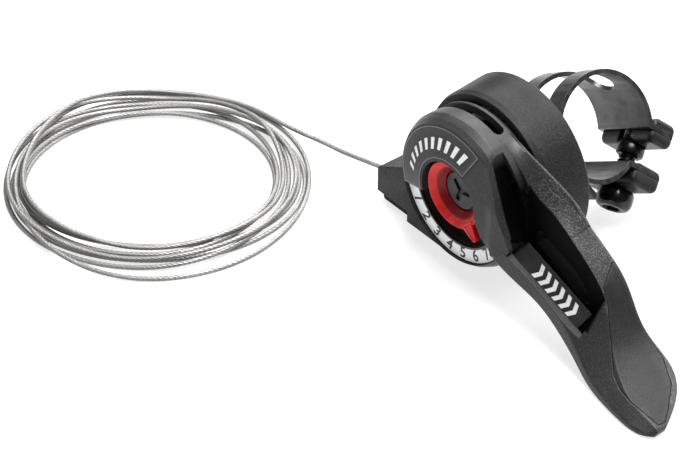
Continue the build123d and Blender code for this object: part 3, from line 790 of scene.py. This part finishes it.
def blend_rib(material):
    """The face plate runs on into the arm's front rib."""
    left_edge = [(-9.5, 14.9), (-6.9, 12.5), (-4.7, 10.8), (1.2, 10.3), (9.0, 10.3)]
    right_edge = [(-9.5, 16.0), (-4.6, 19.3), (2.3, 15.9), (9.0, 13.1)]
    low, high = left_edge[0][0], left_edge[-1][0]
    rib_depth, rib_slope, rib_start = -1.98, 0.186, 14
    joined_at, fade_low, fade_length = 14.2, 3.6, 4.2
    lift, wall_back = 0.012, 0.28
    rows, columns = 28, 12
    top, wall = [], []
    for row in range(rows + 1):
        z = low + (high - low) * row / rows
        left, right = between(left_edge, z), between(right_edge, z)
        line = []
        for column in range(columns + 1):
            x = left + (right - left) * column / columns
            plate = plate_inner_depth + plate_slope * (hypot(x, z) - face_hole_radius)
            rib = rib_depth + rib_slope * max(0.0, x - rib_start)
            share = smooth((x - left) / (joined_at - left)) * (1 - smooth((z - fade_low) / fade_length))
            line.append(at(x, plate + (rib - plate) * share - lift, z))
        top.append(line)
        wall.append([line[-1], at(right, wall_back, z)])
    add_mesh("rib_root", *sheets(top, wall), "lever", "lever_plastic", material)


# ---- pointer, screw and nut -----------------------------------------------
def paint_red():
    """Red moulding, darker on the wall round its middle."""
    paint = satin("red_plastic", (0.62, 0.020, 0.022), 0.38, wear=(0.85, 0.12, 0.10), edge=0.15)
    paint.vary_color(500, (0.50, 0.012, 0.016), 0.45, 0.7)
    x, _, z = paint.in_mm()
    paint.tint(paint.before(paint.radius_from(x, z), edge=6.5, soft=0.2), (0.22, 0.006, 0.008))
    return paint.finish()


def make_arrow(red):
    """The ridge on the pointer ring's tooth, tapered towards the numbers."""
    angle, near, far = -44.0, 7.9, 11.75
    root_half, tip_half = 15.5, 3
    top, ridge = -1.19, -1.95
    points = [
        polar(near, angle - root_half, top), polar(far, angle - tip_half, top),
        polar(far, angle + tip_half, top), polar(near, angle + root_half, top),
        polar(near, angle, ridge), polar(far - 0.5, angle, ridge + 0.15),
    ]
    faces = [(0, 4, 5, 1), (4, 3, 2, 5), (1, 5, 2), (0, 3, 4), (0, 1, 2, 3)]
    add_mesh("pointer_arrow", points, faces, "shifter_base", "red_plastic", red, smooth=False)


def round_screw(radius, height, angle):
    """Point round the clamp screw's axis, in millimetres."""
    side = screw_axis.orthogonal().normalized()
    outward = side * cos(angle) + screw_axis.cross(side) * sin(angle)
    return screw_point + screw_axis * height * mm + outward * radius * mm


def lathe(profile, segments=64, closed_ends=True):
    """Skin round the clamp screw's axis from (radius, height, sides) points; sides 0 is round."""
    rings = []
    for radius, height, sides in profile:
        ring = []
        for segment in range(segments):
            angle = tau * segment / segments
            half = pi / sides if sides else 0.0
            reach = radius / cos((angle % (2 * half)) - half) if sides else radius
            ring.append(round_screw(reach, height, angle))
        rings.append(ring)
    return tube(rings, closed_ends)


def make_screw(black):
    """A cap head with a six-sided recess, and a shank with its thread."""
    recess = [(0.01, -9.6, 6), (2.0, -9.6, 6), (2.0, -11.75, 6)]
    head = [
        (2.25, -12.0, 0), (3.1, -11.95, 0), (3.75, -11.65, 0), (4.25, -11.0, 0), (4.5, -10.1, 0),
        (4.5, -8.0, 0), (4.2, -7.45, 0), (3.6, -7.3, 0), (2.0, -7.3, 0),
    ]
    add_mesh("screw_head", *lathe(recess + head), "screw", "black_screw_steel", black)
    pitch, core, crest, flank = 1.0, 1.85, 2.32, 2.6
    foot, top = -7.4, 8.4
    segments, rows_per_pitch = 48, 10
    rows = int((top - foot) / pitch * rows_per_pitch)
    rings = []
    for row in range(rows + 1):
        height = foot + (top - foot) * row / rows
        ring = []
        for segment in range(segments):
            phase = ((height - foot) / pitch - segment / segments) % 1
            radius = core + (crest - core) * max(0.0, 1 - abs(phase - 0.5) * flank)
            ring.append(round_screw(radius, height, tau * segment / segments))
        rings.append(ring)
    thread = add_mesh("screw_thread", *tube(rings), "screw", "black_screw_steel", black)
    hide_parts("clamp_screw")


def make_nut(black):
    """Sleeve with a flared foot; one side of its head is cut flat against the band."""
    flat_distance, foot_of_head = 3.3 * mm, 8.1 * mm
    bar_tilt = radians(31)
    bar_along = Vector((cos(bar_tilt), 0, sin(bar_tilt)))
    toward_bar = screw_axis.cross(bar_along).normalized()
    if toward_bar.dot(at(0, 37, 0) - screw_point) < 0:
        toward_bar = -toward_bar
    bore = [(2.4, 10.2), (2.4, 1.45)]
    sleeve = [
        (2.9, 1.45), (3.3, 1.75), (3.48, 2.3), (3.48, 3.6),
        (3.3, 4.2), (2.85, 4.9), (2.75, 5.6), (2.75, 8.15),
    ]
    head = [(4.5, 8.15), (4.5, 9.4), (4.2, 10.0), (3.6, 10.2), (2.4, 10.2)]
    profile = [(radius, height, 0) for radius, height in bore + sleeve + head]
    points, faces = lathe(profile, closed_ends=False)
    flattened = []
    for point in points:
        offset = point - screw_point
        over = offset.dot(toward_bar) - flat_distance
        if over > 0 and offset.dot(screw_axis) > foot_of_head:
            point = point - toward_bar * over
        flattened.append(point)
    nut = add_mesh("barrel_nut_sleeve", flattened, faces, "shifter_base", "black_screw_steel", black)
    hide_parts("barrel_nut")


def make_details():
    white = paint_print("print_white", (0.82, 0.82, 0.82))
    grey = paint_print("print_grey", (0.22, 0.22, 0.225))
    ink = paint_print("print_black", (0.012, 0.012, 0.012))
    red = paint_red()
    steel = metal("black_screw_steel", (0.035, 0.035, 0.037), 0.22, streak=500, dark=(0.015, 0.015, 0.016))
    black = steel.finish()
    print_label(white, grey)
    print_numbers(ink)
    print_side_plate(white)
    assign(red, "pointer_ring")
    make_arrow(red)
    make_screw(black)
    make_nut(black)
    joins = paint_lever("lever_joins", rounded=False)
    blend_strip(joins)
    blend_rib(joins)


camera_axes = make_camera()
make_studio(*camera_axes)
paint_nodes()
make_cable()
make_details()
